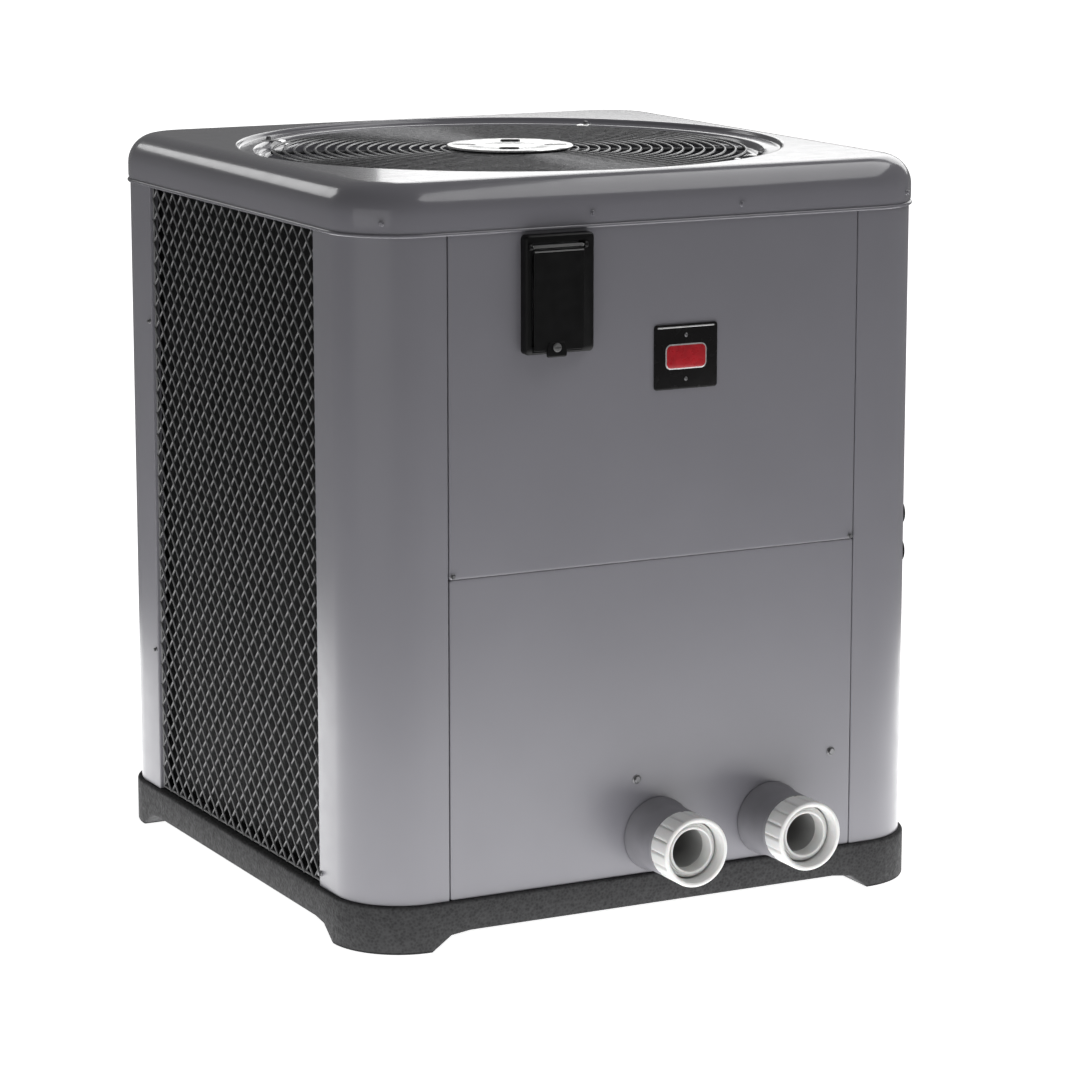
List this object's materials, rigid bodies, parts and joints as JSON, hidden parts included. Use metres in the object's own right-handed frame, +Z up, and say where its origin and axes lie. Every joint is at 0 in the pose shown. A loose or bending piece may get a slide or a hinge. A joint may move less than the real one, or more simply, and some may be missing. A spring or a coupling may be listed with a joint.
{
  "type": "pool and spa heat pump",
  "caption": "Square upright pool and spa heat pump with a top fan, mesh-guarded wrap-round coil, hinged control flap and two water unions at the front.",
  "frame": {"origin": "on the ground under the middle of the square cabinet, at the face of the base's middle support pad", "axes": "+Z up; -Y towards the front, where the water unions and the control flap are; +X to the right seen from the front"},
  "size_m": [0.803, 0.897, 0.933],
  "materials": {
    "cabinet_paint": "satin grey polyester powder coat on galvanised sheet",
    "base_plastic": "textured charcoal composite, pebbled",
    "guard_wire": "dark vinyl-coated steel wire",
    "polished_steel": "bright pressed plate",
    "motor_black": "black enamel",
    "galvanised_steel": "zinc-coated sheet",
    "fan_plastic": "moulded black blades",
    "coil_fins": "dark coated aluminium fins",
    "copper": "bare copper tube",
    "rubber": "matte black rubber",
    "grey_plastic": "plain grey moulding",
    "collar_grey": "grey moulded collar",
    "white_pvc": "moulded white PVC",
    "black_plastic": "fine-grained black moulding",
    "latch_grey": "worn dark grey knob",
    "display_glass": "smoked display window",
    "badge_black": "smooth black plate with blank emblem",
    "circuit_green": "circuit board",
    "screw_steel": "painted hex screw head"
  },
  "bodies": {
    "cabinet": {"base_pan": "base_plastic", "top_cover": "cabinet_paint", "front_panel_upper": "cabinet_paint", "front_panel_lower": "cabinet_paint", "corner_post_front_left": "cabinet_paint", "corner_post_front_right": "cabinet_paint", "corner_post_rear_left": "cabinet_paint", "corner_post_rear_right": "cabinet_paint", "fan_guard": "guard_wire", "coil_guard_left": "guard_wire", "coil_guard_right": "guard_wire", "coil_guard_back": "guard_wire", "motor_mount_plate": "polished_steel", "fan_motor": "motor_black", "fan_shroud_ring": "galvanised_steel", "evaporator_coil": "coil_fins", "coil_header": "copper", "compressor": "motor_black", "compressor_grommet_a": "rubber", "compressor_grommet_b": "rubber", "compressor_grommet_c": "rubber", "compressor_grommet_d": "rubber", "heat_exchanger": "grey_plastic", "inlet_pipe": "white_pvc", "outlet_pipe": "white_pvc", "inlet_collar": "collar_grey", "outlet_collar": "collar_grey", "inlet_o_ring": "rubber", "outlet_o_ring": "rubber", "water_flow_switch": "black_plastic", "control_frame": "black_plastic", "flap_hinge_pin": "galvanised_steel", "control_panel": "grey_plastic", "display_lens": "display_glass", "badge_plate": "badge_black", "control_box": "galvanised_steel", "contactor": "grey_plastic", "transformer": "galvanised_steel", "control_board": "circuit_green", "run_capacitor": "galvanised_steel", "reversing_valve": "copper", "suction_accumulator": "motor_black", "filter_drier": "galvanised_steel", "discharge_line": "copper", "suction_line": "copper", "liquid_line": "copper", "entry_grommet_upper": "rubber", "entry_grommet_lower": "rubber", "panel_screw_left": "screw_steel", "panel_screw_right": "screw_steel"},
    "fan": {"fan_blades": "fan_plastic", "motor_shaft": "galvanised_steel"},
    "flap": {"control_flap": "black_plastic"},
    "latch": {"flap_latch": "latch_grey"},
    "inlet_union": {"inlet_nut": "white_pvc"},
    "outlet_union": {"outlet_nut": "white_pvc"},
    "key_mode": {"button_mode": "rubber"},
    "key_power": {"button_power": "rubber"},
    "key_up": {"button_up": "rubber"},
    "key_down": {"button_down": "rubber"}
  },
  "joints": [
    {"name": "fan_spin", "type": "hinge", "parent": "cabinet", "child": "fan", "pos_m": [0, 0, 0.796], "axis": [0, 0, 1], "continuous": true},
    {"name": "flap_hinge", "type": "hinge", "parent": "cabinet", "child": "flap", "pos_m": [-0.1442, -0.4112, 0.853], "axis": [-1, 0, 0], "range_deg": [0, 110]},
    {"name": "latch_turn", "type": "hinge", "parent": "flap", "child": "latch", "pos_m": [-0.1475, -0.4125, 0.732], "axis": [0, 1, 0], "range_deg": [0, 90]},
    {"name": "inlet_nut_turn", "type": "hinge", "parent": "cabinet", "child": "inlet_union", "pos_m": [0.0035, -0.4755, 0.109], "axis": [0, 1, 0], "continuous": true},
    {"name": "outlet_nut_turn", "type": "hinge", "parent": "cabinet", "child": "outlet_union", "pos_m": [0.165, -0.4755, 0.109], "axis": [0, 1, 0], "continuous": true},
    {"name": "press_mode", "type": "slide", "parent": "cabinet", "child": "key_mode", "axis": [0, 1, 0], "range_m": [0, 0.0015], "stiffness_N_per_m": 400, "springref_m": -0.0005},
    {"name": "press_power", "type": "slide", "parent": "cabinet", "child": "key_power", "axis": [0, 1, 0], "range_m": [0, 0.0015], "stiffness_N_per_m": 400, "springref_m": -0.0005},
    {"name": "press_down", "type": "slide", "parent": "cabinet", "child": "key_down", "axis": [0, 1, 0], "range_m": [0, 0.0015], "stiffness_N_per_m": 400, "springref_m": -0.0005},
    {"name": "press_up", "type": "slide", "parent": "cabinet", "child": "key_up", "axis": [0, 1, 0], "range_m": [0, 0.0015], "stiffness_N_per_m": 400, "springref_m": -0.0005}
  ]
}
